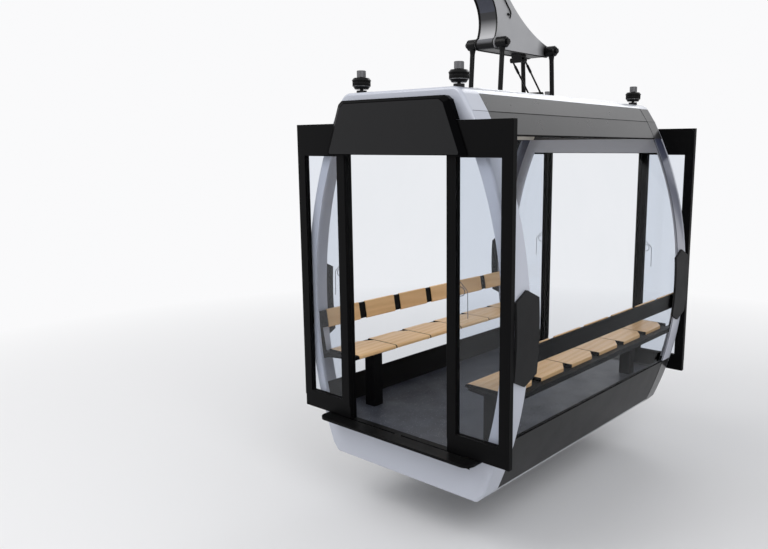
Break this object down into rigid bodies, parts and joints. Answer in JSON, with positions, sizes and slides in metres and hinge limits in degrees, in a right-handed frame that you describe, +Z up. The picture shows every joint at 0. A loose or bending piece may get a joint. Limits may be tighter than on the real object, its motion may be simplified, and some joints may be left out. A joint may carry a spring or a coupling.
{
  "type": "cable car cabin",
  "caption": "Glazed cable car cabin with curved sides, open sliding end doors, facing benches and a bowed hanger arm to a rope grip.",
  "frame": {"origin": "centre of the rope held in the grip's jaws", "axes": "X along the rope, Y across it from one end doorway to the other, Z up"},
  "size_m": [2.014, 3.04, 5.395],
  "materials": {
    "silver_paint": "satin metallic paint",
    "grey_panel": "glossy dark grey panel",
    "black_metal": "satin black powder coat",
    "clear_glass": "clear glazing",
    "black_gloss": "glossy black cover",
    "screen": "dark display face, blank",
    "liner": "light grey liner",
    "floor_mat": "dark speckled floor covering",
    "alloy": "mill finish alloy",
    "wood": "clear lacquered plywood",
    "rubber": "moulded rubber",
    "steel": "machined steel",
    "hanger_paint": "grey painted steel",
    "grip_steel": "galvanised grip castings"
  },
  "bodies": {
    "grip": {"grip_body": "grip_steel", "drive_plate": "grip_steel"},
    "cabin": {"end_ring_front": "silver_paint", "end_ring_rear": "silver_paint", "roof": "silver_paint", "ceiling_liner": "liner", "upper_panel_right": "grey_panel", "upper_panel_left": "grey_panel", "side_glass_right": "clear_glass", "side_glass_left": "clear_glass", "lower_panel_right": "grey_panel", "lower_panel_left": "grey_panel", "bottom_rims": "silver_paint", "kick_walls": "black_metal", "floor_pan": "alloy", "floor_beams": "alloy", "floor_ribs": "alloy", "floor_mat": "floor_mat", "door_sills": "black_metal", "door_jambs": "black_metal", "end_panes": "clear_glass", "header_housing_front": "black_gloss", "header_housing_rear": "black_gloss", "header_screens": "screen", "door_rods": "steel", "bench_frame_right": "black_metal", "bench_frame_left": "black_metal", "seat_pads": "wood", "back_pads": "wood", "rub_pads": "rubber", "roller_axles": "steel", "hanger_posts": "black_metal", "cross_tubes": "steel", "hanger_arm": "hanger_paint", "stay_rods": "steel", "stay_bracket": "black_metal"},
    "jaw_lever": {"jaw_lever": "grip_steel"},
    "lever_roller": {"lever_roller": "rubber"},
    "wheel_up": {"running_wheel_up": "rubber"},
    "wheel_down": {"running_wheel_down": "rubber"},
    "roller_front_right": {"guide_roller_front_right": "black_metal"},
    "roller_front_left": {"guide_roller_front_left": "black_metal"},
    "roller_rear_left": {"guide_roller_rear_left": "black_metal"},
    "roller_rear_right": {"guide_roller_rear_right": "black_metal"},
    "leaf_front_right": {"leaf_frame_front_right": "black_metal", "leaf_glass_front_right": "clear_glass"},
    "leaf_front_left": {"leaf_frame_front_left": "black_metal", "leaf_glass_front_left": "clear_glass"},
    "leaf_rear_left": {"leaf_frame_rear_left": "black_metal", "leaf_glass_rear_left": "clear_glass"},
    "leaf_rear_right": {"leaf_frame_rear_right": "black_metal", "leaf_glass_rear_right": "clear_glass"}
  },
  "joints": [
    {"name": "hanger_swing", "type": "hinge", "parent": "grip", "child": "cabin", "pos_m": [0, -0.2125, -0.03], "axis": [0, 1, 0], "range_deg": [-20, 20]},
    {"name": "jaw_open", "type": "hinge", "parent": "grip", "child": "jaw_lever", "pos_m": [0, 0, 0.095], "axis": [1, 0, 0], "range_deg": [0, 12], "stiffness_Nm_per_rad": 800, "springref_deg": -11.46},
    {"name": "lever_roller_spin", "type": "hinge", "parent": "jaw_lever", "child": "lever_roller", "pos_m": [0, -0.1974, 0.25], "axis": [0, 1, 0], "continuous": true},
    {"name": "wheel_up_spin", "type": "hinge", "parent": "grip", "child": "wheel_up", "pos_m": [0.19, -0.156, 0.125], "axis": [0, 1, 0], "continuous": true},
    {"name": "wheel_down_spin", "type": "hinge", "parent": "grip", "child": "wheel_down", "pos_m": [-0.19, -0.156, 0.125], "axis": [0, 1, 0], "continuous": true},
    {"name": "roller_front_right_spin", "type": "hinge", "parent": "cabin", "child": "roller_front_right", "pos_m": [0.451, -1.262, -2.27], "axis": [0, 0, 1], "continuous": true},
    {"name": "roller_front_left_spin", "type": "hinge", "parent": "cabin", "child": "roller_front_left", "pos_m": [-0.451, -1.262, -2.27], "axis": [0, 0, 1], "continuous": true},
    {"name": "roller_rear_left_spin", "type": "hinge", "parent": "cabin", "child": "roller_rear_left", "pos_m": [-0.451, 1.262, -2.27], "axis": [0, 0, 1], "continuous": true},
    {"name": "roller_rear_right_spin", "type": "hinge", "parent": "cabin", "child": "roller_rear_right", "pos_m": [0.451, 1.262, -2.27], "axis": [0, 0, 1], "continuous": true},
    {"name": "leaf_front_right_slide", "type": "slide", "parent": "cabin", "child": "leaf_front_right", "axis": [-1, 0, 0], "range_m": [0, 0.475]},
    {"name": "leaf_front_left_slide", "type": "slide", "parent": "cabin", "child": "leaf_front_left", "axis": [1, 0, 0], "range_m": [0, 0.475]},
    {"name": "leaf_rear_left_slide", "type": "slide", "parent": "cabin", "child": "leaf_rear_left", "axis": [1, 0, 0], "range_m": [0, 0.475]},
    {"name": "leaf_rear_right_slide", "type": "slide", "parent": "cabin", "child": "leaf_rear_right", "axis": [-1, 0, 0], "range_m": [0, 0.475]}
  ],
  "couplings": [
    {"joint": "leaf_front_left_slide", "follows": "leaf_front_right_slide", "ratio": 1},
    {"joint": "leaf_rear_right_slide", "follows": "leaf_rear_left_slide", "ratio": 1}
  ]
}
